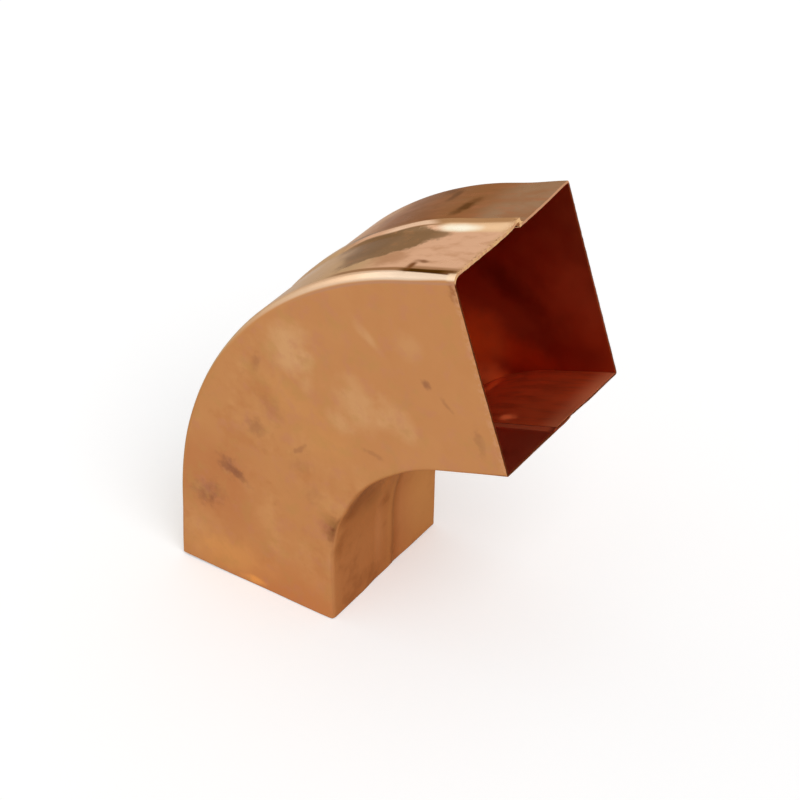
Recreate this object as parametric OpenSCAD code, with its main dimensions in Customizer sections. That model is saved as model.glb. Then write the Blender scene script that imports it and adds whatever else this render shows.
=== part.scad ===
// Square downpipe bend, pressed from sheet copper as two half shells that lap along the heel and throat.
// Origin: centre of the lower end's rim. +Z runs up the lower leg, +X is the side that the bend turns to.

/* [Pipe ends] */
// Clear opening of the upper end, which the pipe above slips into
socket_opening = 80; // [60:1:120]
// Outside width of the lower end, which slips into the pipe below
spigot_w = 76; // [54:0.5:118]

/* [Bend] */
// Angle between the two legs
bend_angle = 72; // [40:1:87]
// Radius of the throat, the inner wall of the bend
throat_r = 77; // [40:1:160]
// Straight length of the lower leg, measured along the throat
lower_leg = 25; // [15:1:120]
// Straight length of the upper leg, measured along the throat
upper_leg = 29; // [20:1:120]

/* [Sheet] */
// Thickness of the sheet
wall = 0.8; // [0.5:0.05:1.2]
// Outside radius of the front half's soft heel corner
soft_corner_r = 3.4; // [1:0.1:8]
// Outside radius of the other three long corners
corner_r = 1; // [1:0.1:8]

/* [Lap seams] */
// Distance from the middle plane to the line where the front sheet starts to climb
climb_start = 3; // [1:0.5:8]
// Width of the slope on which the front sheet climbs over the rear one
climb_w = 4; // [2:0.5:8]
// Width in which the two sheets overlap
lap_w = 4.5; // [3:0.5:10]
// Free space between the slope and the rear sheet's edge
edge_gap = 0.3; // [0.1:0.1:1]

/* [Braze] */
// Thickness of the braze between the two sheets
braze_t = 0.15; // [0.05:0.05:0.3]
// Width of the braze fillet on the rear sheet, along the lap's edge
fillet_w = 0.7; // [0.3:0.1:1.5]
// Height of the braze fillet on the front sheet's edge
fillet_h = 0.5; // [0.2:0.1:0.7]
// Distance by which the braze stops short of the rims
braze_inset = 1; // [0.5:0.5:5]

/* [Smoothness] */
// Steps around the bend
bend_steps = 36; // [12:1:60]
// Steps around each long corner
corner_steps = 6; // [3:1:10]

/* [Hidden] */

copper = [0.74, 0.52, 0.33];
brown_copper = [0.62, 0.42, 0.30];
braze_gold = [0.85, 0.68, 0.42];

socket_w = socket_opening + 2 * wall;
taper = socket_w - spigot_w;

// The heel turns about its own centre, so that the duct widens evenly from the spigot to the socket.
heel_r = throat_r + (spigot_w + socket_w) / 2;
leg_shift = taper * (1 + cos(bend_angle)) / sin(bend_angle) / 2;
heel_lower_leg = lower_leg + leg_shift;
heel_upper_leg = upper_leg - leg_shift;
throat_centre = [spigot_w / 2 + throat_r, lower_leg];
heel_centre = [heel_r - spigot_w / 2, heel_lower_leg];

// Lengths along the middle of the duct, which share out the change of width
arc_length = (heel_r + throat_r) / 2 * bend_angle * PI / 180;
mid_lower_leg = (lower_leg + heel_lower_leg) / 2;
mid_length = mid_lower_leg + arc_length + (upper_leg + heel_upper_leg) / 2;

// The front sheet lies on the rear one, with the braze between them.
climb_h = wall + braze_t;
climb_end = climb_w - climb_start;
rear_edge = climb_end + edge_gap;
lap_edge = rear_edge + lap_w;

HEEL = 0;
THROAT = 1;

// Directions in the bend plane, as [x, z], after turning by an angle
function outward(angle) = [-cos(angle), sin(angle)];
function along(angle) = [sin(angle), cos(angle)];

// Half the outside width of the duct at a length along its middle
function half_width(length) = (spigot_w + taper * length / mid_length) / 2;

// One cross-section of the duct: heel point, throat point, angle turned, half the width
function bend_section(angle) = [
    heel_centre + heel_r * outward(angle),
    throat_centre + throat_r * outward(angle),
    angle,
    half_width(mid_lower_leg + arc_length * angle / bend_angle)
];

// A section at one of the two rims, moved a distance in from it
function lower_section(inset) = [[-spigot_w / 2, inset], [spigot_w / 2, inset], 0, half_width(inset)];
function upper_section(inset) = let (last = bend_section(bend_angle)) [
    last[0] + (heel_upper_leg - inset) * along(bend_angle),
    last[1] + (upper_leg - inset) * along(bend_angle),
    bend_angle,
    half_width(mid_length - inset)
];

function sections(inset) = [
    lower_section(inset),
    for (i = [0 : bend_steps]) bend_section(bend_angle * i / bend_steps),
    upper_section(inset)
];

// A point of a section: y runs across the duct, out is the height above the heel or throat line.
function place(section, side, y, out) =
    let (p = side == HEEL ? section[HEEL] + out * outward(section[2])
                          : section[THROAT] - out * outward(section[2]))
    [p[0], y, p[1]];

// A long corner of the duct as [side, y, out], on the surface that lies at a depth in the sheet
function corner(side, half_w, outer_r, depth) =
    let (radius = depth > 0 ? max(outer_r - depth, 0.2) : outer_r, inset = depth + radius)
    [
        for (i = [0 : corner_steps])
            let (angle = 90 * i / corner_steps)
            [side, -(half_w - inset) - radius * sin(angle), radius * cos(angle) - inset]
    ];

function reversed(list) = [for (i = [len(list) - 1 : -1 : 0]) list[i]];

// One surface of a half shell, from its heel edge around the side wall to its throat edge.
// edge is the list of [y, climb] from the free edge towards the corner, depth is 0 outside and wall inside.
function shell_surface(half_w, edge, heel_corner_r, depth) = concat(
    [for (e = edge) [HEEL, e[0], e[1] - depth]],
    corner(HEEL, half_w, heel_corner_r, depth),
    reversed(corner(THROAT, half_w, corner_r, depth)),
    [for (e = reversed(edge)) [THROAT, e[0], e[1] - depth]]
);

// Solid between an upper and a lower line of points, drawn through all sections.
// lines holds, for each section, the two lines as lists of [side, y, out].
module loft(cuts, lines) {
    n = len(lines[0][0]);
    ring = 2 * n;
    last = ring * (len(cuts) - 1);
    points = [
        for (i = [0 : len(cuts) - 1])
            for (p = concat(lines[i][0], reversed(lines[i][1]))) place(cuts[i], p[0], p[1], p[2])
    ];
    walls = [
        for (i = [0 : len(cuts) - 2])
            for (j = [0 : ring - 1])
                let (a = i * ring + j, b = i * ring + (j + 1) % ring)
                each [[a, b, b + ring], [a, b + ring, a + ring]]
    ];
    start_cap = [
        for (j = [0 : n - 2])
            let (a = j, b = j + 1, c = ring - 2 - j, d = ring - 1 - j)
            each [[a, c, b], [a, d, c]]
    ];
    end_cap = [for (face = start_cap) [for (k = reversed(face)) k + last]];
    polyhedron(points, concat(walls, start_cap, end_cap));
}

module half_shell(edge, heel_corner_r) {
    cuts = sections(0);
    loft(cuts, [for (cut = cuts) [for (depth = [0, wall]) shell_surface(cut[3], edge, heel_corner_r, depth)]]);
}

// Front half, on the -Y side: its edges climb onto the rear half
module front_half_shell() {
    color(copper) half_shell([[lap_edge, climb_h], [climb_end, climb_h], [-climb_start, 0]], soft_corner_r);
}

// Rear half, on the +Y side: its flat edges lie under the front half
module rear_half_shell() {
    color(brown_copper) mirror([0, 1, 0]) half_shell([[-rear_edge, 0]], corner_r);
}

// Braze that fills one lap and forms a fillet at its edge
module braze_seam(side) {
    above = [[side, rear_edge, braze_t], [side, lap_edge, braze_t], [side, lap_edge, braze_t + fillet_h]];
    below = [[side, rear_edge, 0], [side, lap_edge + fillet_w / 2, 0], [side, lap_edge + fillet_w, 0]];
    cuts = sections(braze_inset);
    loft(cuts, [for (cut = cuts) side == HEEL ? [below, above] : [above, below]]);
}

module heel_braze_seam() {
    color(braze_gold) braze_seam(HEEL);
}

module throat_braze_seam() {
    color(braze_gold) braze_seam(THROAT);
}

front_half_shell();
rear_half_shell();
heel_braze_seam();
throat_braze_seam();
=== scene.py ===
"""Studio scene of a square downpipe bend in sheet copper: two half shells, lapped and brazed."""
import math
from collections import namedtuple

import bpy
import numpy as np
from mathutils import Matrix, Vector, noise


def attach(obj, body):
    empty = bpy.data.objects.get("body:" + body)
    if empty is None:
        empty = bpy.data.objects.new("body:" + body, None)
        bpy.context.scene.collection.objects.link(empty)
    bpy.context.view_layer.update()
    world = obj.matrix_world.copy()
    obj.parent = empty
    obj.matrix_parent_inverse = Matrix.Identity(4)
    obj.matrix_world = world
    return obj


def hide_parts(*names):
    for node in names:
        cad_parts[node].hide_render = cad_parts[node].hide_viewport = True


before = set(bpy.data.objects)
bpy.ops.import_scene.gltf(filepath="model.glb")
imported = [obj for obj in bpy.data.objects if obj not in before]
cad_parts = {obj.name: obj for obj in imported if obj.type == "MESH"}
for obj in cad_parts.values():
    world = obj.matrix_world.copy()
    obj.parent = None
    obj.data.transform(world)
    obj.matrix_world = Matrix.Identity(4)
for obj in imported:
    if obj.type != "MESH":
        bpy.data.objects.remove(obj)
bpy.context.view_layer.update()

MM = 0.001

# Duct, as in the part's source
SOCKET_OPENING = 80 * MM
SPIGOT_W = 76 * MM
BEND = math.radians(72)
THROAT_R = 77 * MM
LOWER_LEG = 25 * MM
UPPER_LEG = 29 * MM
WALL = 0.8 * MM
CORNER_R = 1 * MM

# Lap seams: the front sheet climbs over the rear one, with braze between them
CLIMB_START = 3 * MM
CLIMB_END = 1 * MM
BRAZE_T = 0.15 * MM
CLIMB_H = WALL + BRAZE_T
REAR_EDGE = 1.3 * MM
LAP_EDGE = 5.8 * MM
FILLET_W = 0.7 * MM
FILLET_H = 0.5 * MM
THROAT_FILLET_H = 0.12 * MM
BRAZE_INSET = 0.15 * MM

# Bead at the mouth's end of the heel's braze
BEAD_REACH = 2.6 * MM
BEAD_W = 1.0 * MM
BEAD_H = 0.35 * MM

# Shape that follows from them
SOCKET_W = SOCKET_OPENING + 2 * WALL
TAPER = SOCKET_W - SPIGOT_W
HEEL_R = THROAT_R + (SPIGOT_W + SOCKET_W) / 2
LEG_SHIFT = TAPER * (1 + math.cos(BEND)) / math.sin(BEND) / 2
HEEL_LOWER_LEG = LOWER_LEG + LEG_SHIFT
HEEL_UPPER_LEG = UPPER_LEG - LEG_SHIFT
THROAT_CENTRE = np.array([SPIGOT_W / 2 + THROAT_R, LOWER_LEG])
HEEL_CENTRE = np.array([HEEL_R - SPIGOT_W / 2, HEEL_LOWER_LEG])
ARC_LENGTH = (HEEL_R + THROAT_R) / 2 * BEND
MID_LOWER_LEG = (LOWER_LEG + HEEL_LOWER_LEG) / 2
MID_UPPER_LEG = (UPPER_LEG + HEEL_UPPER_LEG) / 2
MID_LENGTH = MID_LOWER_LEG + ARC_LENGTH + MID_UPPER_LEG

# Fineness of the meshes
RING_STEP = 1.4 * MM
RIM_STEP = 0.5 * MM
RIM_ZONE = 3 * MM
EDGE_STEPS = 3
HEEL_STEPS = 24
SIDE_STEPS = 52
CORNER_STEPS = 8
RIM_ROUND = 0.1 * MM
LEAST_CORNER_R = 0.2 * MM

HEEL, SIDE, THROAT = 0, 1, 2
OUTSIDE, INSIDE, RIM = 0, 1, 2

# A half shell: whether it lies at +Y, and the functions that give its free edges, its corners' radii,
# how far it strays from the true shape and how much thicker it is at the mouth
Half = namedtuple("Half", "mirrored edge corner_r shift lip")


# ---- Shape of the duct ----

def outward(angle):
    return np.array([-math.cos(angle), math.sin(angle)])


def along(angle):
    return np.array([math.sin(angle), math.cos(angle)])


def section(length):
    """Heel point, throat point, angle turned and half the width, at a length along the middle."""
    half_width = (SPIGOT_W + TAPER * length / MID_LENGTH) / 2
    if length < MID_LOWER_LEG:
        share = length / MID_LOWER_LEG
        heel = np.array([-SPIGOT_W / 2, share * HEEL_LOWER_LEG])
        throat = np.array([SPIGOT_W / 2, share * LOWER_LEG])
        return heel, throat, 0.0, half_width
    angle = min((length - MID_LOWER_LEG) / ARC_LENGTH, 1.0) * BEND
    share = max(length - MID_LOWER_LEG - ARC_LENGTH, 0.0) / MID_UPPER_LEG
    heel = HEEL_CENTRE + HEEL_R * outward(angle) + share * HEEL_UPPER_LEG * along(angle)
    throat = THROAT_CENTRE + THROAT_R * outward(angle) + share * UPPER_LEG * along(angle)
    return heel, throat, angle, half_width


def spaced(start, end, step):
    return np.linspace(start, end, max(2, round((end - start) / step) + 1))


def ring_lengths(inset=0.0):
    """Lengths along the middle at which a mesh has a ring, closer together near the mouth."""
    bend_end = MID_LOWER_LEG + ARC_LENGTH
    rim_zone = MID_LENGTH - RIM_ZONE
    return np.concatenate([
        spaced(inset, MID_LOWER_LEG, RING_STEP),
        spaced(MID_LOWER_LEG, bend_end, RING_STEP)[1:],
        spaced(bend_end, rim_zone, RING_STEP)[1:],
        spaced(rim_zone, MID_LENGTH - inset, RIM_STEP)[1:],
    ])


# ---- How the real sheet strays from the true shape ----

WAVE_SIZE = 26 * MM
WAVE_HEIGHT = 0.12 * MM
REAR_WAVE_SHIFT = 300 * MM
SAW_SIZE = 1.3 * MM
SAW_HEIGHT = 0.15 * MM
FOOT_REACH = 30 * MM

# Dents of the front sheet: centre, radius and depth
CORNER_DENT = ((39.5 * MM, -38.5 * MM, 46 * MM), 11 * MM, 0.8 * MM)
WALL_DENT = ((84 * MM, -40 * MM, 134 * MM), 9 * MM, 0.25 * MM)

# Flares (outwards) and pinches (inwards) of the rims
FRONT_FOOT_FLARE = 0.6 * MM
FRONT_HEEL_FLARE = 0.95 * MM
FRONT_MOUTH_PINCH = 0.7 * MM
FRONT_LAP_LIFT = 0.45 * MM
FRONT_FOOT_CUT = 0.6 * MM
REAR_MOUTH_FLARE = 0.5 * MM
REAR_LAP_DIP = 1.0 * MM
REAR_CORNER_LIFT = 0.75 * MM
UPPER_THROAT_SAG = 0.5 * MM


def ramp(value, start, end):
    """0 at start, 1 at end, with a soft step between."""
    share = min(max((value - start) / (end - start), 0.0), 1.0)
    return share * share * (3 - 2 * share)


def dent(point, centre, radius, depth):
    """The depth at the centre, fading to 0 at the radius."""
    gap = math.dist(point, centre) / radius
    return depth * max(0.0, 1 - gap * gap) ** 2


def waves(point, size):
    """Gentle unevenness between about -1 and 1, with features of that size."""
    return noise.noise(Vector(point) / size)


def near_mouth(length, reach):
    return ramp(length, MID_LENGTH - reach, MID_LENGTH)


def near_foot(length, reach):
    return ramp(length, reach, 0)


def front_corner_r(side, length):
    """On the heel the corner is crisp at the foot and soft at the mouth; on the throat the other way."""
    if side == THROAT:
        places = [0, 30 * MM, 90 * MM, MID_LENGTH]
        return float(np.interp(length, places, [1.6 * MM, 2.2 * MM, 2.0 * MM, CORNER_R]))
    return float(np.interp(length, [0, 45 * MM, 150 * MM], [CORNER_R, 2.6 * MM, 4.0 * MM]))


def rear_corner_r(side, length):
    return CORNER_R


def lap_lines(side, length):
    """Start and end of the front sheet's climb, the rear sheet's edge and the front sheet's edge.

    On the throat they lie further to the front; on the heel the climb shifts towards the edge at the mouth.
    """
    if side == THROAT:
        drift = 0.8 * MM * near_mouth(length, 28 * MM)
        return -7.4 * MM - drift, -4.0 * MM - drift, -3.4 * MM - drift, LAP_EDGE
    cut = near_mouth(length, 5 * MM)
    climb_shift = 2.4 * MM * cut
    return -CLIMB_START + climb_shift, CLIMB_END + climb_shift, REAR_EDGE + 3.2 * MM * cut, LAP_EDGE


def throat_sink(length):
    """How far the throat's lap is pressed in at the foot and at the mouth."""
    return 0.3 * MM * near_foot(length, 22 * MM) + 0.4 * MM * near_mouth(length, 40 * MM)


def throat_thinning(length):
    """How much thinner the front sheet is beaten in the throat's lap."""
    return 0.15 * MM + 0.35 * MM * max(near_mouth(length, 40 * MM), near_foot(length, 22 * MM))


def front_shift(point, side, length):
    """How far the front sheet strays: across the duct, out from heel or throat, and up."""
    x, y, z = point
    foot = ramp(z, FOOT_REACH, 0)
    wave = WAVE_HEIGHT * waves(point, WAVE_SIZE) - dent(point, *CORNER_DENT) - dent(point, *WALL_DENT)
    across = wave + FRONT_FOOT_FLARE * foot * ramp(x, -10 * MM, 38 * MM)
    across -= FRONT_MOUTH_PINCH * near_mouth(length, 35 * MM) * ramp(z - x, 50 * MM, -8 * MM)
    out = wave
    if side == HEEL:
        out += FRONT_LAP_LIFT * near_mouth(length, 22 * MM) * ramp(y, -14 * MM, LAP_EDGE)
        out += FRONT_HEEL_FLARE * foot * ramp(y, -10 * MM, -34 * MM)
    elif side == THROAT:
        climb_start, climb_end, _, _ = lap_lines(side, length)
        out += FRONT_FOOT_FLARE * foot * ramp(y, climb_end, climb_end - 14 * MM)
        out += UPPER_THROAT_SAG * ramp(length, 100 * MM, 140 * MM)
        out -= throat_sink(length) * ramp(y, climb_start, climb_end)
    cut = FRONT_FOOT_CUT * ramp(x, -5 * MM, -38 * MM) * ramp(y, 0, -38 * MM) * max(0.0, 1 - z / (10 * MM))
    return across, out, cut


def rear_shift(point, side, length):
    """How far the rear sheet strays: across the duct, out from heel or throat, and up."""
    x, y, z = point
    wave = WAVE_HEIGHT * waves((x, y, z + REAR_WAVE_SHIFT), WAVE_SIZE)
    across = wave + REAR_MOUTH_FLARE * near_mouth(length, 30 * MM) * ramp(z - x, 70 * MM, -8 * MM)
    out = wave
    if side == HEEL:
        out -= REAR_LAP_DIP * near_mouth(length, 26 * MM) * ramp(y, 34 * MM, 3 * MM)
        out += REAR_CORNER_LIFT * near_mouth(length, 20 * MM) * ramp(y, 24 * MM, 40 * MM)
    elif side == THROAT:
        out += UPPER_THROAT_SAG * ramp(length, 100 * MM, 140 * MM)
        out -= throat_sink(length) * ramp(y, 20 * MM, lap_lines(side, length)[3])
    return across, out, 0.0


def front_lip(y, length):
    """How much thicker the front sheet is at the mouth, where its heel edge was cut."""
    return (0.45 + 0.2 * waves((y, length, 0), 2.5 * MM)) * MM * near_mouth(length, 2 * MM)


def rear_lip(y, length):
    return 0.2 * MM * near_mouth(length, 2 * MM)


def front_edge(side, length):
    """(y, top, bottom) of the front sheet from its free edge on; on the throat the edge is beaten thin."""
    climb_start, climb_end, _, edge = lap_lines(side, length)
    top, edge_top, thinned = CLIMB_H, CLIMB_H, 2 * MM
    if side == THROAT:
        top = CLIMB_H - throat_thinning(length)
        ends = max(near_mouth(length, 12 * MM), near_foot(length, 12 * MM))
        edge_top = 0.4 * MM - 0.2 * MM * ends
        thinned = 3.5 * MM
    return [
        (edge, edge_top, BRAZE_T),
        (edge - thinned, top, BRAZE_T),
        (climb_end, top, BRAZE_T),
        (climb_start, 0.0, -WALL),
    ]


def rear_edge(side, length):
    """(y, top, bottom) of the rear sheet's free edge."""
    return [(-lap_lines(side, length)[2], 0.0, -WALL)]


# ---- Meshes ----

def edge_points(edge, end_y, surface):
    """(y, height) from a half shell's free edge to the start of its corner.

    The surface says which number of an edge's point is the height: 1 outside, 2 inside.
    """
    line = [(point[0], point[surface]) for point in edge]
    line.append((end_y, line[-1][1]))
    steps = [EDGE_STEPS] * (len(edge) - 1) + [HEEL_STEPS]
    points = []
    for (y, height), (next_y, next_height), count in zip(line, line[1:], steps):
        for share in np.linspace(0, 1, count + 1)[:-1]:
            points.append((y + share * (next_y - y), height + share * (next_height - height)))
    return points


def corner_line(side, half_w, edge, outer_r, depth):
    """Points (y, out, turn, normal y, normal out) from the free edge to the side wall.

    The turn is 0 on the heel, 1 on the side wall and 2 on the throat.
    """
    radius = max(outer_r - depth, LEAST_CORNER_R) if depth else outer_r
    inset = depth + radius
    surface = 2 if depth else 1
    line = [(y, height, 0.0, 0.0, 1.0) for y, height in edge_points(edge, inset - half_w, surface)]
    for i in range(CORNER_STEPS + 1):
        angle = math.pi / 2 * i / CORNER_STEPS
        across, up = math.sin(angle), math.cos(angle)
        y = -(half_w - inset) - radius * across
        line.append((y, radius * up - inset, i / CORNER_STEPS, -across, up))
    if side == THROAT:
        line = [(y, out, 2 - turn, ny, nout) for y, out, turn, ny, nout in reversed(line)]
    return line


def ring_points(length, half, depth):
    """One ring of a half shell's surface: rows of x, y, z, turn, side and the three parts of the normal."""
    heel, throat, angle, half_w = section(length)
    out = outward(angle)
    rows = []
    for side, base, sign in ((HEEL, heel, 1), (THROAT, throat, -1)):
        edge, outer_r = half.edge(side, length), half.corner_r(side, length)
        for y, height, turn, ny, nout in corner_line(side, half_w, edge, outer_r, depth):
            x, z = base + sign * height * out
            rows.append([x, y, z, turn, side, sign * nout * out[0], ny, sign * nout * out[1]])
    rows = np.array(rows)
    upper, lower = rows[rows[:, 4] == HEEL], rows[rows[:, 4] == THROAT]
    shares = np.linspace(0, 1, SIDE_STEPS + 1)[1:-1, None]
    wall = upper[-1] + shares * (lower[0] - upper[-1])
    wall[:, 3:] = [1, SIDE, 0, -1, 0]
    return np.concatenate([upper, wall, lower])


def shell_surface(half, depth):
    """Points, turn and length of one surface of a half shell, ring by ring."""
    rings = []
    for length in ring_lengths():
        rows = ring_points(length, half, depth)
        if half.mirrored:
            rows[:, [1, 6]] *= -1
        ragged = along(section(length)[2]) * near_mouth(length, 1.2 * MM)
        for row in rows:
            side, y = int(row[4]), row[1]
            across, out, up = half.shift(tuple(row[:3]), side, length)
            if depth and side == HEEL:
                out -= half.lip(y, length)
            saw = SAW_HEIGHT * waves(tuple(row[:3]), SAW_SIZE)
            level = max(math.hypot(row[5], row[7]), 0.5)
            row[0] += out * row[5] / level + saw * ragged[0]
            row[1] += across * max(-1.0, min(1.0, 2 * row[6]))
            row[2] += out * row[7] / level + saw * ragged[1] + up
        rings.append(np.column_stack([rows[:, :4], np.full(len(rows), length / MM)]))
    return np.array(rings)


def shell_mesh(name, half):
    """Closed mesh of one half shell: outer and inner surfaces, rims and lap edges."""
    outer, inner = shell_surface(half, 0.0), shell_surface(half, WALL)
    rings, count = outer.shape[:2]
    rows = np.concatenate([outer.reshape(-1, 5), inner.reshape(-1, 5)])
    under = rings * count
    faces, kinds = [], []

    def add(kind, *quad):
        faces.append(quad if half.mirrored else quad[::-1])
        kinds.append(kind)

    for i in range(rings - 1):
        first, last = i * count, (i + 1) * count - 1
        for a in range(first, last):
            add(OUTSIDE, a, a + 1, a + 1 + count, a + count)
            add(INSIDE, under + a, under + a + count, under + a + 1 + count, under + a + 1)
        add(RIM, first, first + count, under + first + count, under + first)
        add(RIM, last, under + last, under + last + count, last + count)
    top = (rings - 1) * count
    for a in range(count - 1):
        b = top + a
        add(RIM, a, under + a, under + a + 1, a + 1)
        add(RIM, b, b + 1, under + b + 1, under + b)
    return finish_mesh(name, rows[:, :3], faces, kinds, turn=rows[:, 3], length=rows[:, 4])


def braze_profile(side, length):
    """(y, height, whether it moves with the front sheet) around the braze of one lap, its inner part last."""
    _, _, rear, edge = lap_lines(side, length)
    swell = 1 + 0.3 * waves((length * 4, 0.1, 0.2), 20 * MM)
    bead = near_mouth(length, BEAD_REACH) if side == HEEL else 0.0
    width = FILLET_W * swell + BEAD_W * bead
    rise = FILLET_H + BEAD_H * bead if side == HEEL else THROAT_FILLET_H
    return [
        (rear, BRAZE_T - 0.05 * MM, True),
        (edge - 0.1 * MM, BRAZE_T, True),
        (edge, BRAZE_T + rise, True),
        (edge + 0.3 * width, 0.3 * rise + 0.45 * MM * bead, False),
        (edge + 0.7 * width, 0.1 * rise + 0.3 * MM * bead, False),
        (edge + width, 0.02 * MM, False),
        (edge + 0.5 * width, 0.0, False),
        (rear + 0.1 * MM, 0.0, False),
        (rear + 0.02 * MM, -0.68 * MM, False),
        (rear - 2.6 * MM, -0.36 * MM, True),
    ]


def braze_mesh(name, side):
    """Closed mesh of the braze in one lap, from between the sheets out to the fillet at the edge.

    The attribute inner is 1 on the strip that shows inside the duct.
    """
    rows = []
    lengths = ring_lengths(BRAZE_INSET)
    for length in lengths:
        heel, throat, angle, _ = section(length)
        base, sign = (heel, 1) if side == HEEL else (throat, -1)
        for y, height, on_front in braze_profile(side, length):
            x, z = base + sign * height * outward(angle)
            shift = front_shift if on_front else rear_shift
            x, z = (x, z) + sign * shift((x, y, z), side, length)[1] * outward(angle)
            rows.append((x, y, z, length / MM, float(height < -0.2 * MM)))
    rows = np.array(rows)
    count = len(rows) // len(lengths)
    faces = []
    for i in range(len(lengths) - 1):
        for j in range(count):
            a, b = i * count + j, i * count + (j + 1) % count
            faces.append((a, b, b + count, a + count))
    faces.append(tuple(reversed(range(count))))
    faces.append(tuple(range(len(rows) - count, len(rows))))
    if side == THROAT:
        faces = [face[::-1] for face in faces]
    kinds = [0] * len(faces)
    return finish_mesh(name, rows[:, :3], faces, kinds, length=rows[:, 3], inner=rows[:, 4])


def finish_mesh(name, points, faces, kinds, **attributes):
    """Mesh with smooth faces, a material for each kind of face, and attributes at its points."""
    mesh = bpy.data.meshes.new(name)
    mesh.from_pydata(points.tolist(), [], faces)
    mesh.polygons.foreach_set("material_index", kinds)
    mesh.polygons.foreach_set("use_smooth", [True] * len(faces))
    for key, values in attributes.items():
        attribute = mesh.attributes.new(key, "FLOAT", "POINT")
        attribute.data.foreach_set("value", values.astype(np.float32))
    mesh.validate()
    return mesh


def add_piece(name, mesh, node, slot, *materials):
    """Piece with finely rounded rims that stands for one of the part's nodes."""
    piece = bpy.data.objects.new(name, mesh)
    bpy.context.scene.collection.objects.link(piece)
    for material in materials:
        mesh.materials.append(material)
    bevel = piece.modifiers.new("rim_round", "BEVEL")
    bevel.width = RIM_ROUND
    bevel.segments = 2
    bevel.limit_method = "ANGLE"
    bevel.angle_limit = math.radians(50)
    bevel.harden_normals = True
    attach(piece, "root")
    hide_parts(node)


# ---- Tools for the materials ----

def srgb(red, green, blue):
    """A colour as it shows on screen, 0 to 255, for a shader's socket."""
    def linear(value):
        value /= 255
        return value / 12.92 if value <= 0.04045 else ((value + 0.055) / 1.055) ** 2.4
    return (linear(red), linear(green), linear(blue), 1.0)


OUTSIDE_EDGE_TINT = srgb(205, 186, 171)
INSIDE_EDGE_TINT = srgb(235, 200, 190)
SHEET_BUMP = 0.04 * MM
BRAZE_BUMP = 0.1 * MM

# A spot has its full strength out to this share of its radii; a wall spot reaches this far across the duct
SPOT_CORE = 0.15
WALL_SPOT_DEPTH = 400


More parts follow.
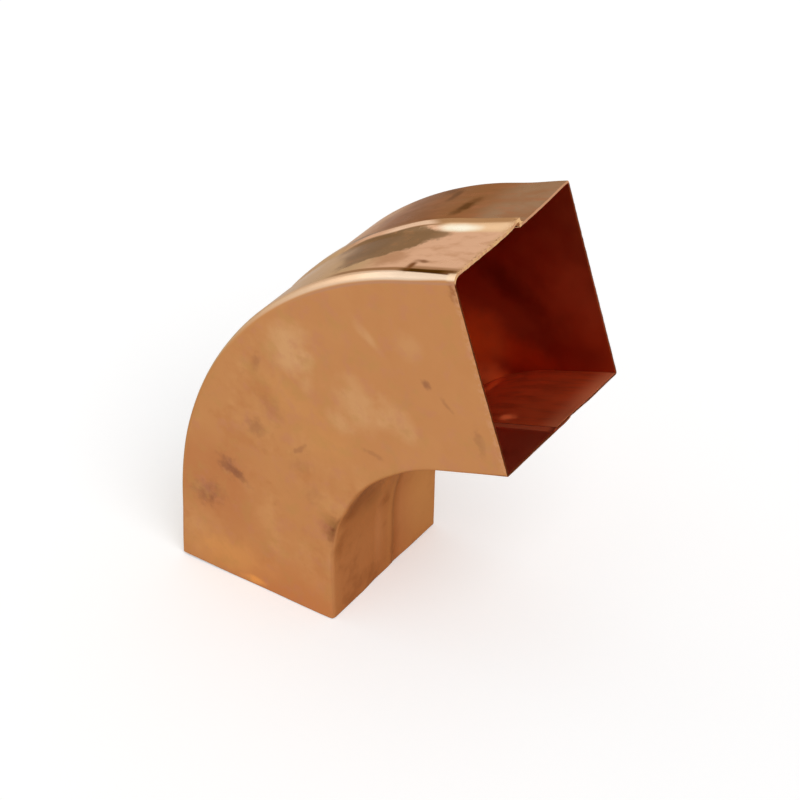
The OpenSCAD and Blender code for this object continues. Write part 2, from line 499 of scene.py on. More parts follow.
class Nodes:
    """Builds one material's nodes, in millimetres of the part's frame.

    x, y and z are the place, length runs along the duct's middle from 0 at the foot to 200 at the mouth, and
    turn is 0 on the heel, 1 on the side wall and 2 on the throat. A zone is 1 inside and 0 outside.
    """

    def __init__(self, name):
        self.material = bpy.data.materials.new(name)
        self.material.use_nodes = True
        self.tree = self.material.node_tree
        self.tree.nodes.clear()
        output = self.new("ShaderNodeOutputMaterial")
        self.shader = self.new("ShaderNodeBsdfPrincipled")
        self.tree.links.new(self.shader.outputs["BSDF"], output.inputs["Surface"])
        scale = self.new("ShaderNodeVectorMath")
        scale.operation = "SCALE"
        scale.inputs["Scale"].default_value = 1 / MM
        coords = self.new("ShaderNodeTexCoord")
        self.tree.links.new(coords.outputs["Object"], scale.inputs[0])
        self.place = scale.outputs["Vector"]
        axes = self.new("ShaderNodeSeparateXYZ")
        self.tree.links.new(self.place, axes.inputs[0])
        self.x, self.y, self.z = axes.outputs
        self.turn = self.attribute("turn")
        self.length = self.attribute("length")
        sheet = self.new("ShaderNodeCombineXYZ")
        self.tree.links.new(self.length, sheet.inputs[0])
        self.tree.links.new(self.y, sheet.inputs[1])
        self.sheet = sheet.outputs[0]
        self.colour = None

    def new(self, kind):
        return self.tree.nodes.new(kind)

    def put(self, value, socket):
        if isinstance(value, bpy.types.NodeSocket):
            self.tree.links.new(value, socket)
        else:
            socket.default_value = value

    def attribute(self, name):
        node = self.new("ShaderNodeAttribute")
        node.attribute_name = name
        return node.outputs["Fac"]

    def math(self, operation, *values):
        node = self.new("ShaderNodeMath")
        node.operation = operation
        for value, socket in zip(values, node.inputs):
            self.put(value, socket)
        return node.outputs[0]

    def scaled(self, share, strength):
        return self.math("MULTIPLY", share, strength)

    def raised(self, base, share, amount):
        """A level that is raised by an amount where the share is 1."""
        return self.math("MULTIPLY_ADD", share, amount, base)

    def blend(self, share, low, high):
        """A value that goes from low to high with a share."""
        return self.raised(low, share, high - low)

    def either(self, one, other):
        return self.math("MAXIMUM", one, other)

    def all(self, *zones):
        """Product of zones: 1 only where every one is 1."""
        product = zones[0]
        for zone in zones[1:]:
            product = self.scaled(product, zone)
        return product

    def step(self, value, low, high):
        """Soft step from 0 at low to 1 at high; high may be the smaller."""
        node = self.new("ShaderNodeMapRange")
        node.interpolation_type = "SMOOTHSTEP"
        ends = (low, high, 0.0, 1.0) if low < high else (high, low, 1.0, 0.0)
        self.put(value, node.inputs["Value"])
        for key, end in zip(("From Min", "From Max", "To Min", "To Max"), ends):
            node.inputs[key].default_value = end
        return node.outputs["Result"]

    def between(self, value, low, high, soft):
        """1 between two levels and 0 outside them, with edges that soft wide."""
        rise = self.step(value, low - soft, low + soft)
        fall = self.step(value, high + soft, high - soft)
        return self.all(rise, fall)

    def noise(self, size, detail=3.0, roughness=0.5, stretch=(1, 1, 1), offset=(0, 0, 0), vector=None):
        """Noise whose features are about size millimetres across."""
        mapping = self.new("ShaderNodeMapping")
        self.put(vector or self.place, mapping.inputs["Vector"])
        mapping.inputs["Scale"].default_value = [1 / (size * s) for s in stretch]
        mapping.inputs["Location"].default_value = offset
        node = self.new("ShaderNodeTexNoise")
        node.inputs["Scale"].default_value = 1.0
        node.inputs["Detail"].default_value = detail
        node.inputs["Roughness"].default_value = roughness
        self.put(mapping.outputs["Vector"], node.inputs["Vector"])
        return node.outputs["Fac"]

    def patches(self, size, low, high, *noise_shape, **noise_place):
        """Zone of the noise's higher parts: 0 where it is below low, 1 where it is above high."""
        return self.step(self.noise(size, *noise_shape, **noise_place), low, high)

    def spot(self, vector, centre, radii, rotation, ragged, size):
        """1 at a place, fading to 0 at the radii, with an outline that noise makes ragged."""
        mapping = self.new("ShaderNodeMapping")
        mapping.vector_type = "TEXTURE"
        mapping.inputs["Location"].default_value = centre
        mapping.inputs["Rotation"].default_value = rotation
        mapping.inputs["Scale"].default_value = radii
        self.put(vector, mapping.inputs["Vector"])
        node = self.new("ShaderNodeVectorMath")
        node.operation = "LENGTH"
        self.put(mapping.outputs["Vector"], node.inputs[0])
        wobble = self.math("SUBTRACT", self.noise(size, 4.0, vector=vector), 0.5)
        return self.step(self.raised(node.outputs["Value"], wobble, ragged), 1.0, SPOT_CORE)

    def wall_spot(self, x, z, rx, rz, degrees=0.0, ragged=1.0, size=6.0):
        """Spot on a side wall, turned by degrees in the bend plane."""
        turned = (0, math.radians(degrees), 0)
        return self.spot(self.place, (x, 0, z), (rx, WALL_SPOT_DEPTH, rz), turned, ragged, size)

    def sheet_spot(self, length, y, rl, ry, degrees=0.0, ragged=0.6, size=4.0):
        """Spot on the heel or the throat, at a length along the duct and a y across it."""
        turned = (0, 0, math.radians(degrees))
        return self.spot(self.sheet, (length, y, 0), (rl, ry, 1), turned, ragged, size)

    def paint(self, colour, *zones, strength=1.0):
        """Lays a colour over what is there, where all the zones meet."""
        share = self.all(*zones)
        if strength != 1.0:
            share = self.scaled(share, strength)
        node = self.new("ShaderNodeMix")
        node.data_type = "RGBA"
        self.put(share, node.inputs[0])
        self.put(self.colour, node.inputs[6])
        self.put(colour, node.inputs[7])
        self.colour = node.outputs[2]

    def finish(self, roughness, edge_tint, metallic=1.0, bump=None, bump_depth=0.0):
        """Copper of that roughness; the edge tint dims its reflections at grazing angles."""
        self.put(self.colour, self.shader.inputs["Base Color"])
        self.shader.inputs["Specular Tint"].default_value = edge_tint
        self.put(roughness, self.shader.inputs["Roughness"])
        self.put(metallic, self.shader.inputs["Metallic"])
        if bump:
            node = self.new("ShaderNodeBump")
            node.inputs["Distance"].default_value = bump_depth
            self.put(bump, node.inputs["Height"])
            self.put(node.outputs["Normal"], self.shader.inputs["Normal"])
        return self.material


# ---- What both outsides share ----

def wall_clouds(n, wall):
    """Pale clouds, mottling and tarnish on a side wall."""
    n.paint(srgb(206, 153, 100), wall, n.patches(26, 0.48, 0.68, 4.0, 0.6), strength=0.6)
    n.paint(srgb(184, 121, 74), wall, n.patches(17, 0.5, 0.72, 4.0, 0.6, offset=(5, 2, 9)), strength=0.6)
    n.paint(srgb(176, 120, 78), wall, n.patches(5, 0.58, 0.8, 5.0, 0.7, offset=(1, 7, 4)), strength=0.5)


def wall_mottling(n, wall):
    """Fine pinkish and olive mottling over everything else on a side wall."""
    n.paint(srgb(190, 128, 96), wall, n.patches(7, 0.5, 0.7, 4.0, 0.6, offset=(8, 1, 3)), strength=0.4)
    n.paint(srgb(184, 138, 82), wall, n.patches(9, 0.5, 0.7, 4.0, 0.6, offset=(2, 9, 6)), strength=0.4)


def frayed_length(n, width):
    """The length along the duct, moved to and fro by noise, so that zones cut from it have frayed ends."""
    return n.math("ADD", n.length, n.raised(-width / 2, n.noise(9, 4.0, 0.6, offset=(4, 4, 4)), width))


def lower_blotches(n, heel, offset=(0, 0, 0)):
    """Brown blotches on the lower half of the heel."""
    blotches = n.patches(14, 0.45, 0.7, 4.0, 0.6, offset=offset)
    n.paint(srgb(188, 144, 108), heel, blotches, n.step(n.length, 132, 116), strength=0.7)


def finish_outside(n, polish):
    """Satin copper, smoother where it is polished."""
    rough = n.math("SUBTRACT", n.blend(n.noise(8, 4.0), 0.34, 0.5), n.scaled(polish, 0.12))
    return n.finish(rough, OUTSIDE_EDGE_TINT, bump=n.noise(7, 3.0), bump_depth=SHEET_BUMP)


# ---- Outside of the front half ----

def outside_front(name):
    n = Nodes(name)
    heel = n.step(n.turn, 0.6, 0.4)
    throat = n.step(n.turn, 1.15, 1.98)
    wall = n.between(n.turn, 0.85, 1.9, 0.06)
    n.colour = srgb(194, 136, 86)
    wall_clouds(n, wall)
    paint_front_wall(n, wall)
    paint_pale_clouds(n, wall)
    paint_front_foot(n, wall)
    paint_smudges(n, wall)
    paint_wall_marks(n)
    wall_mottling(n, wall)
    paint_front_throat(n, throat)
    paint_front_heel(n, heel)
    paint_brown_reflection(n, heel)
    paint_lap(n, heel)
    paint_corner_highlight(n, heel)
    paint_cut_edge(n, heel)
    return finish_outside(n, n.step(n.turn, 0.9, 0.6))


def paint_front_wall(n, wall):
    """Yellowish middle of the side wall, plainer upper leg and ruddier band above the foot."""
    n.paint(srgb(204, 146, 88), wall, n.wall_spot(34, 96, 34, 18, 30, 1.5, 14), strength=0.6)
    n.paint(srgb(193, 134, 85), wall, n.step(n.length, 90, 130), strength=0.8)
    n.paint(srgb(186, 122, 77), wall, n.between(n.z, 26, 66, 12), n.step(n.x, 12, -12), strength=0.8)


def paint_pale_clouds(n, wall):
    pale = srgb(208, 160, 112)

    def cloud(x, z, rx, rz, degrees, strength):
        n.paint(pale, wall, n.wall_spot(x, z, rx, rz, degrees, 1.0, 7), strength=strength)

    # One near the heel, which trails towards the middle
    cloud(20, 126, 14, 17, 20, 0.75)
    cloud(28, 113, 5, 8, 10, 0.45)
    cloud(28, 124, 6, 8, 0, 0.3)

    # A group in the middle, above the throat
    cloud(50, 123, 7, 6, 0, 0.35)
    cloud(52, 112, 18, 16, 10, 0.6)
    cloud(43, 102, 9, 7, 0, 0.5)
    cloud(70, 112, 16, 10, 30, 0.5)

    # A faint one and a streak on the upper leg
    cloud(75, 148, 9, 8, 0, 0.3)
    cloud(56, 146, 3.2, 12, -50, 0.35)
    cloud(58.5, 144.2, 3, 5, -30, 0.3)


def paint_front_foot(n, wall):
    """Warm foot of the side wall, with a painted glint at the rim."""
    n.paint(srgb(193, 127, 78), wall, n.step(n.z, 30, 2), n.step(n.x, -34, 20), strength=0.9)
    n.paint(srgb(206, 146, 88), wall, n.wall_spot(-14, 11, 27, 13, 0, 0.8, 8), strength=0.9)
    # Painted highlight: a golden glint at the foot's rim
    n.paint(srgb(240, 170, 90), wall, n.wall_spot(-1.5, 2.6, 8, 2.4, 0, 0.8, 3), strength=0.6)


def paint_smudges(n, wall):
    brown = srgb(136, 88, 66)

    def smudge(x, z, rx, rz, degrees, strength):
        n.paint(brown, wall, n.wall_spot(x, z, rx, rz, degrees, 1.5, 3), strength=strength)

    # Two strong pairs near the heel, above the foot
    smudge(-12, 57, 8, 6, 35, 0.6)
    smudge(-7.5, 54.5, 8, 3, 30, 0.55)
    smudge(-25, 38, 9, 8, 20, 0.5)
    smudge(-19, 41, 8, 8, 20, 0.25)

    # Fainter ones further up along the heel
    smudge(11, 94, 8, 8, 0, 0.2)
    smudge(2.8, 82.4, 7, 6, 0, 0.38)
    smudge(4, 114, 3, 6, 10, 0.3)

    # Small dark fleck on the upper leg
    smudge(83, 134, 3.6, 2.6, 20, 0.6)

    # Faint scratches round the throat and near the mouth
    smudge(24, 72, 10, 4, -20, 0.15)
    smudge(24, 80, 7, 1.8, -45, 0.35)
    smudge(59, 92.5, 7, 1.8, 10, 0.25)
    smudge(92.6, 128, 5, 1.5, 40, 0.3)
    smudge(106.5, 117.5, 3, 8, -20, 0.3)
    smudge(30, 60, 6, 8, 40, 0.15)


def paint_wall_marks(n):
    """Painted shade in the dent beside the throat, and wear at the mouth's corner."""
    # Painted shade in the dent, darkest in its middle
    n.paint(srgb(150, 92, 62), n.wall_spot(38, 46.5, 7.2, 11, 8, 1.0, 4), strength=0.68)
    n.paint(srgb(104, 54, 30), n.wall_spot(39.4, 45.2, 3.8, 8.5, 8, 0.8, 3), strength=0.65)
    n.paint(srgb(158, 102, 68), n.wall_spot(94, 179, 3.2, 8, -18, 1.2, 2), strength=0.75)
    rim = n.step(n.length, 197, 199.5)
    n.paint(srgb(200, 146, 106), rim, n.between(n.turn, 0.6, 1.2, 0.1), n.patches(1.6, 0.4, 0.6, 3.0),
            strength=0.8)


def paint_front_throat(n, throat):
    """Throat wall: darker and browner, partly its own tone and partly painted shade, with a painted highlight
    on a strip along the lap and on the rounded corner, and darker near the lap's edge.
    """
    # Partly painted shade: the throat darker than the side wall
    n.paint(srgb(180, 119, 74), throat)
    n.paint(srgb(162, 104, 64), throat, n.patches(14, 0.48, 0.7, 3.0))
    n.paint(srgb(150, 92, 56), throat, n.step(n.length, 52, 66), n.step(n.y, -18, -31),
            n.step(n.y, -38.5, -32), strength=0.7)
    # Painted highlight on a strip along the lap's step
    n.paint(srgb(188, 128, 78), throat, n.between(n.y, 0.6, 3.4, 0.9), strength=0.5)
    n.paint(srgb(158, 102, 64), throat, n.step(n.y, 3.4, 5.0), strength=0.7)
    n.paint(srgb(172, 116, 72), throat, n.sheet_spot(58, -12, 10, 12, 0, 0.8, 5), strength=0.7)
    # Painted highlight on the throat's rounded corner
    corner_highlight = n.between(n.turn, 1.6, 2.01, 0.05)
    n.paint(srgb(200, 142, 88), corner_highlight, n.step(n.y, -31, -36), strength=0.25)


def paint_front_heel(n, heel):
    """Tan heel, pinker and streaked towards the mouth: partly the copper's own tone, partly painted
    reflection.
    """
    # Partly painted reflection: the heel's tan, and its pink towards the mouth
    n.paint(srgb(206, 173, 131), heel)
    lower_blotches(n, heel)
    upper = n.all(heel, n.step(n.length, 150, 166))
    n.paint(srgb(230, 184, 151), upper)
    streaks = n.patches(5, 0.46, 0.7, 4.0, 0.6, stretch=(2.5, 1, 1), vector=n.sheet)
    n.paint(srgb(196, 146, 110), upper, streaks, strength=0.6)
    n.paint(srgb(184, 136, 102), heel, n.sheet_spot(163, -25, 10, 9, 0, 1.2, 4), strength=0.7)


def paint_brown_reflection(n, heel):
    """Painted brown reflection, a cloud on the heel: its left side fades out, its right side bulges towards
    the mouth.
    """
    bulge = n.raised(138.5, n.step(n.y, -32, -13), 24.0)
    bulge = n.raised(bulge, n.step(n.y, -13, -6.5), 6.0)
    bulge = n.raised(bulge, n.step(n.y, -6.5, 1), -14.0)
    bulge = n.raised(n.math("SUBTRACT", bulge, 4.0), n.noise(6, 4.0, 0.7), 14.0)
    past = n.math("SUBTRACT", n.length, bulge)
    left = n.raised(frayed_length(n, 16.0), n.y, 0.45)
    cloud = n.all(heel, n.step(left, 127.5, 137.5), n.step(past, 6.6, 1.6))
    # Painted reflection: brown, darker in a band past the bend and flecked towards the mouth
    n.paint(srgb(140, 111, 84), cloud, n.step(n.length, 188, 166))
    n.paint(srgb(126, 99, 74), cloud, n.between(n.length, 142, 155, 4), n.step(n.y, -24, -16))
    n.paint(srgb(166, 122, 88), cloud, n.patches(4, 0.5, 0.72, 4.0, 0.7), n.step(n.length, 182, 170),
            strength=0.7)


def paint_lap(n, heel):
    """Lap on the heel: a painted highlight in pink on its crest, brown beyond it, and a painted highlight in
    cream near the mouth, brightest in a spot.
    """
    n.paint(srgb(156, 112, 80), heel, n.step(n.y, 0.2, 1.0), n.step(n.length, 136, 146))
    crest = n.raised(1.9, n.step(n.length, 148, 162), 1.6)
    crest = n.raised(crest, n.step(n.length, 141, 130), -2.5)
    from_crest = n.math("ABSOLUTE", n.math("SUBTRACT", n.y, crest))
    crest_highlight = n.all(heel, n.step(from_crest, 2.8, 1.2), n.step(n.length, 126, 141),
                     n.step(n.length, 174, 169))
    # Painted highlight along the crest, brightest in its middle
    n.paint(srgb(236, 190, 156), crest_highlight)
    n.paint(srgb(255, 220, 190), crest_highlight, n.between(n.length, 148, 170, 4))
    # Painted highlight in cream on the climb near the mouth, brightest in a spot; brown on the lap beyond it
    bright = n.all(heel, n.step(n.raised(n.length, n.y, 0.8), 164, 170))
    n.paint(srgb(186, 142, 102), bright, n.between(n.y, 0, 5.9, 0.6))
    n.paint(srgb(236, 196, 154), bright, n.step(n.length, 166, 172), n.between(n.y, -4.0, 1.9, 1.1))
    n.paint(srgb(255, 246, 222), bright, n.sheet_spot(176, -1.6, 15, 3.6, 0, 0.3, 4))


def paint_corner_highlight(n, heel):
    """Corner: a painted highlight in cream from a line that slants towards the side wall, a brownish band on
    its lower edge, a darker band and a dark line above it, and painted shade in two creases.
    """
    past_bend = n.math("MAXIMUM", n.math("SUBTRACT", n.length, 155.0), 0.0)
    above = n.math("SUBTRACT", n.y, n.raised(-35.5, past_bend, -0.063))
    corner_end = n.raised(0.67, n.step(n.length, 176, 196), -0.08)
    near = n.step(n.math("SUBTRACT", n.turn, corner_end), 0.09, -0.09)
    corner_highlight = n.all(n.step(above, 0.4, -0.4), near, n.step(n.length, 85, 146))
    # Painted highlight: cream band along the rounded corner, paler towards the mouth
    n.paint(srgb(222, 186, 152), corner_highlight)
    n.paint(srgb(224, 198, 172), corner_highlight, n.step(n.length, 150, 172))
    n.paint(srgb(184, 134, 102), n.between(n.turn, 0.74, 0.9, 0.06), n.step(n.length, 120, 150), strength=0.8)
    halo = srgb(156, 112, 78)
    n.paint(halo, heel, n.between(above, 0.2, 2.6, 0.6), n.step(n.length, 142, 150), strength=0.9)
    n.paint(halo, heel, n.between(above, 0.2, 4.4, 1.0), n.step(n.length, 170, 178), strength=0.75)
    width = n.raised(2.2, n.step(n.length, 184, 192), 0.3)
    line = n.all(near, n.step(above, -0.5, 0.1), n.step(n.math("SUBTRACT", above, width), 0.5, -0.5))
    n.paint(srgb(70, 44, 24), line, n.step(n.length, 170, 175))
    n.paint(srgb(120, 80, 52), line, n.step(n.length, 190, 197), strength=0.8)
    # Painted shade in two creases by the corner
    crease_shade = srgb(122, 76, 50)
    n.paint(crease_shade, heel, n.sheet_spot(174.6, -32.4, 2.7, 6.2, 2, 0.5, 3), strength=0.95)
    n.paint(crease_shade, heel, n.sheet_spot(178, -28.8, 5.5, 1.8, -12, 0.5, 3), strength=0.8)


def paint_cut_edge(n, heel):
    """Golden and dark speckles at the mouth's rim, and a painted highlight, a bright blob, at its corner."""
    gold = n.patches(1.5, 0.42, 0.56, 4.0, 0.7)
    n.paint(srgb(216, 172, 128), n.step(n.length, 196.8, 200), gold, heel, strength=0.7)
    dark = n.patches(1.1, 0.54, 0.64, 3.0)
    n.paint(srgb(128, 88, 56), n.step(n.length, 198, 200), dark, heel, strength=0.6)
    # Painted highlight at the corner's end by the mouth
    highlight_blob = n.between(n.turn, 0.15, 0.65, 0.1)
    n.paint(srgb(244, 212, 176), n.step(n.length, 195.5, 197.5), highlight_blob, strength=0.7)


# ---- Outside of the rear half ----

def outside_rear(name):
    n = Nodes(name)
    heel = n.step(n.turn, 0.5, 0.1)
    throat = n.step(n.turn, 1.5, 1.95)
    wall = n.between(n.turn, 0.5, 1.5, 0.3)
    n.colour = srgb(190, 131, 82)
    wall_clouds(n, wall)
    wall_mottling(n, wall)
    paint_rear_throat(n, throat)
    frayed = frayed_length(n, 20.0)
    paint_rear_heel(n, heel, frayed)
    paint_rear_streaks(n, n.all(heel, n.step(frayed, 126, 150)))
    paint_smears(n, heel)
    return finish_outside(n, n.step(n.turn, 0.7, 0.4))


def paint_rear_throat(n, throat):
    """Throat wall, browner towards the lap."""
    n.paint(srgb(192, 133, 82), throat)
    n.paint(srgb(176, 116, 70), throat, n.patches(16, 0.5, 0.75, 3.0), strength=0.7)
    n.paint(srgb(180, 114, 74), throat, n.step(n.y, 26, 6), strength=0.7)
    n.paint(srgb(160, 100, 60), throat, n.step(n.y, 12, 5), strength=0.8)


def paint_rear_heel(n, heel, frayed):
    """Brown heel, darkest past its middle and paler at both ends: partly the copper's own tone, partly
    painted reflection.
    """
    # Partly painted reflection: the heel's brown, darkest past its middle
    n.paint(srgb(149, 101, 69), heel)
    n.paint(srgb(147, 95, 64), heel, n.step(frayed, 166, 150))
    n.paint(srgb(132, 84, 56), heel, n.between(frayed, 140, 156, 6), strength=0.6)
    n.paint(srgb(204, 156, 108), heel, n.step(frayed, 142, 124))
    n.paint(srgb(204, 166, 132), heel, n.step(frayed, 124, 108))
    n.paint(srgb(162, 128, 101), heel, n.step(n.length, 168, 184))
    lower_blotches(n, heel, (3, 0, 0))


def paint_rear_streaks(n, upper):
    """Fine streaks and flecks on the upper part of the heel."""
    streaks = n.patches(4, 0.48, 0.68, 4.0, 0.7, stretch=(3, 1, 1), vector=n.sheet)
    n.paint(srgb(176, 116, 86), upper, streaks, strength=0.5)
    flecks = n.patches(9, 0.48, 0.66, 4.0, 0.6, stretch=(2, 1, 2))
    n.paint(srgb(160, 106, 74), upper, flecks, strength=0.5)
    fine_flecks = n.patches(4, 0.5, 0.7, 4.0, 0.7, stretch=(3, 1, 3))
    n.paint(srgb(150, 112, 82), upper, fine_flecks, strength=0.5)


def paint_smears(n, heel):
    """Dark smears across the heel."""
    smear = srgb(88, 56, 38)
    n.paint(smear, heel, n.sheet_spot(157, 31, 2.8, 7.5, -3, 0.8, 4), strength=0.75)
    n.paint(smear, heel, n.sheet_spot(167.3, 18.5, 3.6, 11, -12, 0.9, 4), strength=0.9)
    n.paint(smear, heel, n.sheet_spot(153, 37, 5, 4, 0, 0.8, 4), strength=0.6)


# ---- Inside, rims and braze ----

def inside_copper(name):
    """Red inside of the duct, with painted light: a glow low on the rear wall.

    The painted glow, glint and lit places are less metallic.
    """
    n = Nodes(name)
    wall = n.between(n.turn, 0.5, 1.5, 0.4)
    throat = n.step(n.turn, 1.5, 1.9)
    rear = n.step(n.y, -5.0, -3.6)
    n.colour = srgb(210, 102, 60)
    n.paint(srgb(194, 88, 50), n.patches(26, 0.45, 0.7, 3.0))
    glow, lit_wall = paint_inside_wall(n, wall, rear)
    glint_spot, lit_spots = paint_inside_throat(n, throat, rear, lit_wall)
    rough = n.blend(n.noise(10, 3.0), 0.3, 0.42)
    rough = n.raised(rough, n.all(throat, rear), 0.13)
    rough = n.raised(rough, glow, 0.12)
    dull = n.either(glint_spot, n.either(lit_spots, n.scaled(n.all(glow, rear), 0.3)))
    worn_rim = n.all(throat, n.step(n.y, 8, 24), n.step(n.length, 186, 200))
    metallic = n.blend(n.either(dull, n.scaled(worn_rim, 0.3)), 1.0, 0.5)
    return n.finish(rough, INSIDE_EDGE_TINT, metallic, n.noise(8, 3.0), SHEET_BUMP)


def paint_inside_wall(n, wall, rear):
    """Painted light and shade in bands on the rear wall's inside, and its painted glow; returns the glow and
    a lit spot in it.
    """
    # Painted light and shade: lighter and darker bands of reflected light on the rear wall
    n.paint(srgb(250, 126, 78), wall, rear, n.wall_spot(100, 136, 26, 24, 0, 0.6, 12), strength=0.9)
    n.paint(srgb(156, 62, 34), wall, rear, n.wall_spot(69, 131, 26, 9, 31, 0.6, 8), strength=0.85)
    n.paint(srgb(180, 86, 54), wall, rear, n.wall_spot(112, 108, 18, 12, 0, 0.5, 10), strength=0.9)
    # Painted light: a glow where light comes in through the mouth
    glow = n.all(wall, n.wall_spot(52, 100, 24, 22, 0, 0.8, 12))
    n.paint(srgb(255, 108, 40), glow)
    n.paint(srgb(255, 118, 54), wall, rear, n.wall_spot(76, 101, 20, 11, 0, 0.6, 8))
    return glow, n.all(wall, rear, n.wall_spot(66, 83, 14, 12, 0, 0.6, 5))


def paint_inside_throat(n, throat, rear, lit_wall):
    """Streaked throat with painted light near the mouth and a painted glint; returns the glint and all the
    lit places.
    """
    streaks = n.patches(4, 0.4, 0.66, 4.0, 0.6, stretch=(6, 1, 1), vector=n.sheet)
    n.paint(srgb(246, 122, 70), throat, rear)
    n.paint(srgb(212, 98, 56), throat, rear, streaks, strength=0.7)
    # Painted light, stronger towards the mouth
    n.paint(srgb(255, 160, 112), throat, rear, n.step(n.length, 190, 200))
    # Painted highlight: a glint on the throat's floor
    glint_spot = n.all(throat, n.sheet_spot(175.5, 1.2, 6, 3.2, 0, 0.8, 3))
    n.paint(srgb(255, 130, 76), glint_spot)
    # Painted light in the lit places
    lit_spots = n.either(lit_wall, n.all(throat, rear, n.sheet_spot(133, 31, 9, 11, 0, 0.6, 5)))
    n.paint(srgb(255, 120, 60), lit_spots)
    n.paint(srgb(240, 128, 90), throat, n.step(n.y, -3.6, -5.0))
    return glint_spot, lit_spots


def rim_copper(name):
    """Cut edges of the sheet: dark, but golden on the heel."""
    n = Nodes(name)
    n.colour = srgb(96, 48, 28)
    heel = n.step(n.turn, 0.95, 0.7)
    n.paint(srgb(200, 148, 112), heel)
    n.paint(srgb(216, 172, 122), heel, n.step(n.y, 6, 4), n.patches(1.6, 0.35, 0.6, 3.0))
    n.paint(srgb(228, 184, 134), heel, n.between(n.y, 3.6, 5.9, 0.6))
    return n.finish(0.4, OUTSIDE_EDGE_TINT)


def braze_metal(name):
    """Braze: brown, golden at the mouth, and red and less metallic on the strip inside the duct."""
    n = Nodes(name)
    n.colour = srgb(176, 122, 80)
    n.paint(srgb(150, 96, 60), n.patches(6, 0.45, 0.7, 3.0))
    n.paint(srgb(226, 180, 128), n.step(n.length, 194, 198.5))
    n.paint(srgb(150, 98, 62), n.step(n.length, 198, 199.4), n.step(n.y, 5.4, 4.4))
    n.paint(srgb(216, 168, 136), n.step(n.z, 110, 130), n.step(n.length, 176, 160))
    below = n.step(n.z, 150, 130)
    inner = n.all(n.attribute("inner"), n.either(below, n.step(n.length, 197, 195)))
    n.paint(srgb(196, 94, 60), inner)
    n.paint(srgb(150, 66, 40), below, n.step(n.length, 197, 199.4), n.step(n.y, 1.6, 0.6))
    return n.finish(0.38, OUTSIDE_EDGE_TINT, n.blend(inner, 1.0, 0.6), n.noise(1.6, 3.0), BRAZE_BUMP)


# ---- Studio ----

WORLD_FILL = 0.6
FLOOR_PALENESS = 0.8
FLOOR_GLOW = 0.30
FLOOR_HALF = 8.0
FLOOR_DROP = 0.3 * MM
LAMPS_AIM = Vector((0.03, 0, 0.09))


def background_share(tree):
    """1 for the rays that see the background: camera, glossy and transmission rays."""
    path = tree.nodes.new("ShaderNodeLightPath")
    share = path.outputs["Is Camera Ray"]
    for name in ("Is Glossy Ray", "Is Transmission Ray"):
        node = tree.nodes.new("ShaderNodeMath")
        node.operation = "MAXIMUM"
        tree.links.new(share, node.inputs[0])
        tree.links.new(path.outputs[name], node.inputs[1])
        share = node.outputs[0]
    return share


def make_world():
    """White where it is seen, and a dimmer fill light."""
    world = bpy.data.worlds.new("studio")
    bpy.context.scene.world = world
    world.use_nodes = True
    tree = world.node_tree
    tree.nodes.clear()
    output = tree.nodes.new("ShaderNodeOutputWorld")
    mix = tree.nodes.new("ShaderNodeMixShader")
    tree.links.new(background_share(tree), mix.inputs[0])
    for socket, strength in ((mix.inputs[1], WORLD_FILL), (mix.inputs[2], 1.0)):
        node = tree.nodes.new("ShaderNodeBackground")
        node.inputs["Color"].default_value = (1, 1, 1, 1)
        node.inputs["Strength"].default_value = strength
        tree.links.new(node.outputs[0], socket)
    tree.links.new(mix.outputs[0], output.inputs[0])


def floor_material():
    """Pale matte, with a glow that only the camera and reflections see, which brings it up to white."""
    material = bpy.data.materials.new("floor_white")
    material.use_nodes = True
    tree = material.node_tree
    tree.nodes.clear()
    output = tree.nodes.new("ShaderNodeOutputMaterial")
    matte = tree.nodes.new("ShaderNodeBsdfDiffuse")
    matte.inputs["Color"].default_value = (FLOOR_PALENESS, FLOOR_PALENESS, FLOOR_PALENESS, 1)
    strength = tree.nodes.new("ShaderNodeMath")
    strength.operation = "MULTIPLY"
    strength.inputs[1].default_value = FLOOR_GLOW
    tree.links.new(background_share(tree), strength.inputs[0])
    emission = tree.nodes.new("ShaderNodeEmission")
    tree.links.new(strength.outputs[0], emission.inputs["Strength"])
    add = tree.nodes.new("ShaderNodeAddShader")
    tree.links.new(matte.outputs[0], add.inputs[0])
    tree.links.new(emission.outputs[0], add.inputs[1])
    tree.links.new(add.outputs[0], output.inputs[0])
    return material


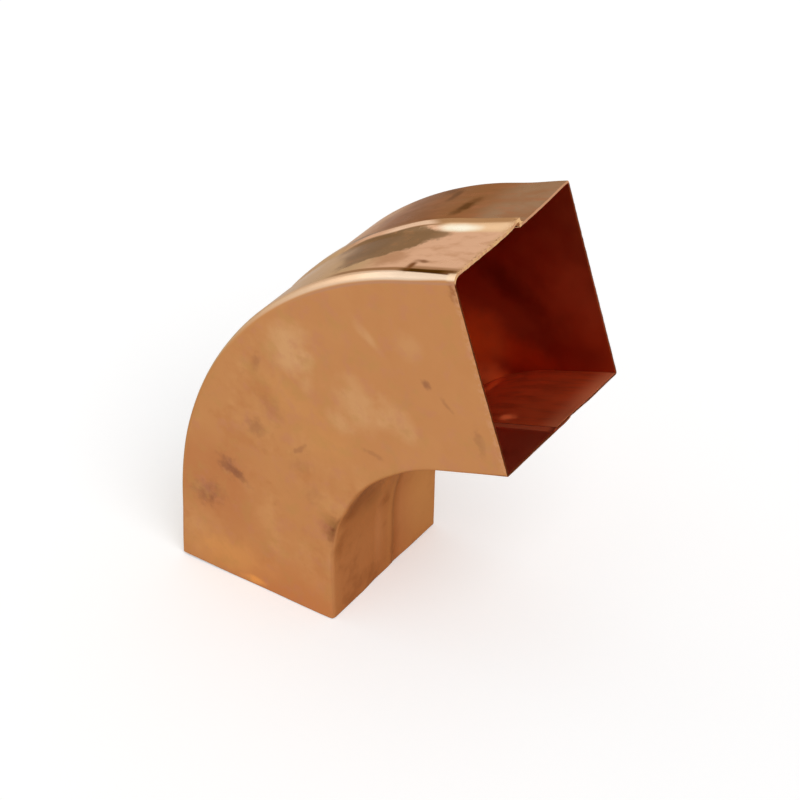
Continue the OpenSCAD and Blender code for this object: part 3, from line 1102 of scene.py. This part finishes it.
def make_floor():
    corners = [(-FLOOR_HALF, -FLOOR_HALF, 0), (FLOOR_HALF, -FLOOR_HALF, 0),
               (FLOOR_HALF, FLOOR_HALF, 0), (-FLOOR_HALF, FLOOR_HALF, 0)]
    mesh = bpy.data.meshes.new("floor")
    mesh.from_pydata(corners, [], [(0, 1, 2, 3)])
    mesh.materials.append(floor_material())
    floor = bpy.data.objects.new("floor", mesh)
    floor.location.z = -FLOOR_DROP
    bpy.context.scene.collection.objects.link(floor)


def add_lamp(name, kind, place, **settings):
    """Lamp that points at the middle of the part."""
    data = bpy.data.lights.new(name, kind)
    for key, value in settings.items():
        setattr(data, key, value)
    lamp = bpy.data.objects.new(name, data)
    lamp.location = place
    lamp.rotation_euler = (LAMPS_AIM - Vector(place)).to_track_quat("-Z", "Y").to_euler()
    bpy.context.scene.collection.objects.link(lamp)


def make_camera():
    """Camera of the photograph, found by matching the part's corners."""
    data = bpy.data.cameras.new("camera")
    data.sensor_width = 36
    data.lens = 111.653
    camera = bpy.data.objects.new("camera", data)
    bpy.context.scene.collection.objects.link(camera)
    camera.matrix_world = Matrix((
        (0.832942, -0.321265, 0.450551, 0.48720),
        (0.553336, 0.476049, -0.683517, -0.67089),
        (0.005106, 0.818636, 0.574289, 0.65271),
        (0, 0, 0, 1),
    ))
    bpy.context.scene.camera = camera


# ---- Scene ----

def add_part():
    """The two half shells and the braze in their two laps."""
    front_half = Half(False, front_edge, front_corner_r, front_shift, front_lip)
    rear_half = Half(True, rear_edge, rear_corner_r, rear_shift, rear_lip)
    inside = inside_copper("copper_inside")
    rim = rim_copper("copper_rim")
    braze = braze_metal("braze")
    add_piece("front_half_shell_sheet", shell_mesh("front_sheet", front_half), "front_half_shell",
              "copper_front", outside_front("copper_outside_front"), inside, rim)
    add_piece("rear_half_shell_sheet", shell_mesh("rear_sheet", rear_half), "rear_half_shell",
              "copper_rear", outside_rear("copper_outside_rear"), inside, rim)
    add_piece("heel_seam_braze", braze_mesh("heel_braze", HEEL), "heel_braze_seam", "braze", braze)
    add_piece("throat_seam_braze", braze_mesh("throat_braze", THROAT), "throat_braze_seam", "braze", braze)


make_camera()
make_world()
make_floor()
add_lamp("key", "SUN", (1.1, -0.7, 1.5), energy=1.2, angle=math.radians(40))
add_lamp("left_softbox", "AREA", (-1.75, 0.0, 0.95), shape="RECTANGLE", size=1.9, size_y=0.5, energy=2.5)
add_part()

bpy.context.scene.view_settings.view_transform = "Standard"
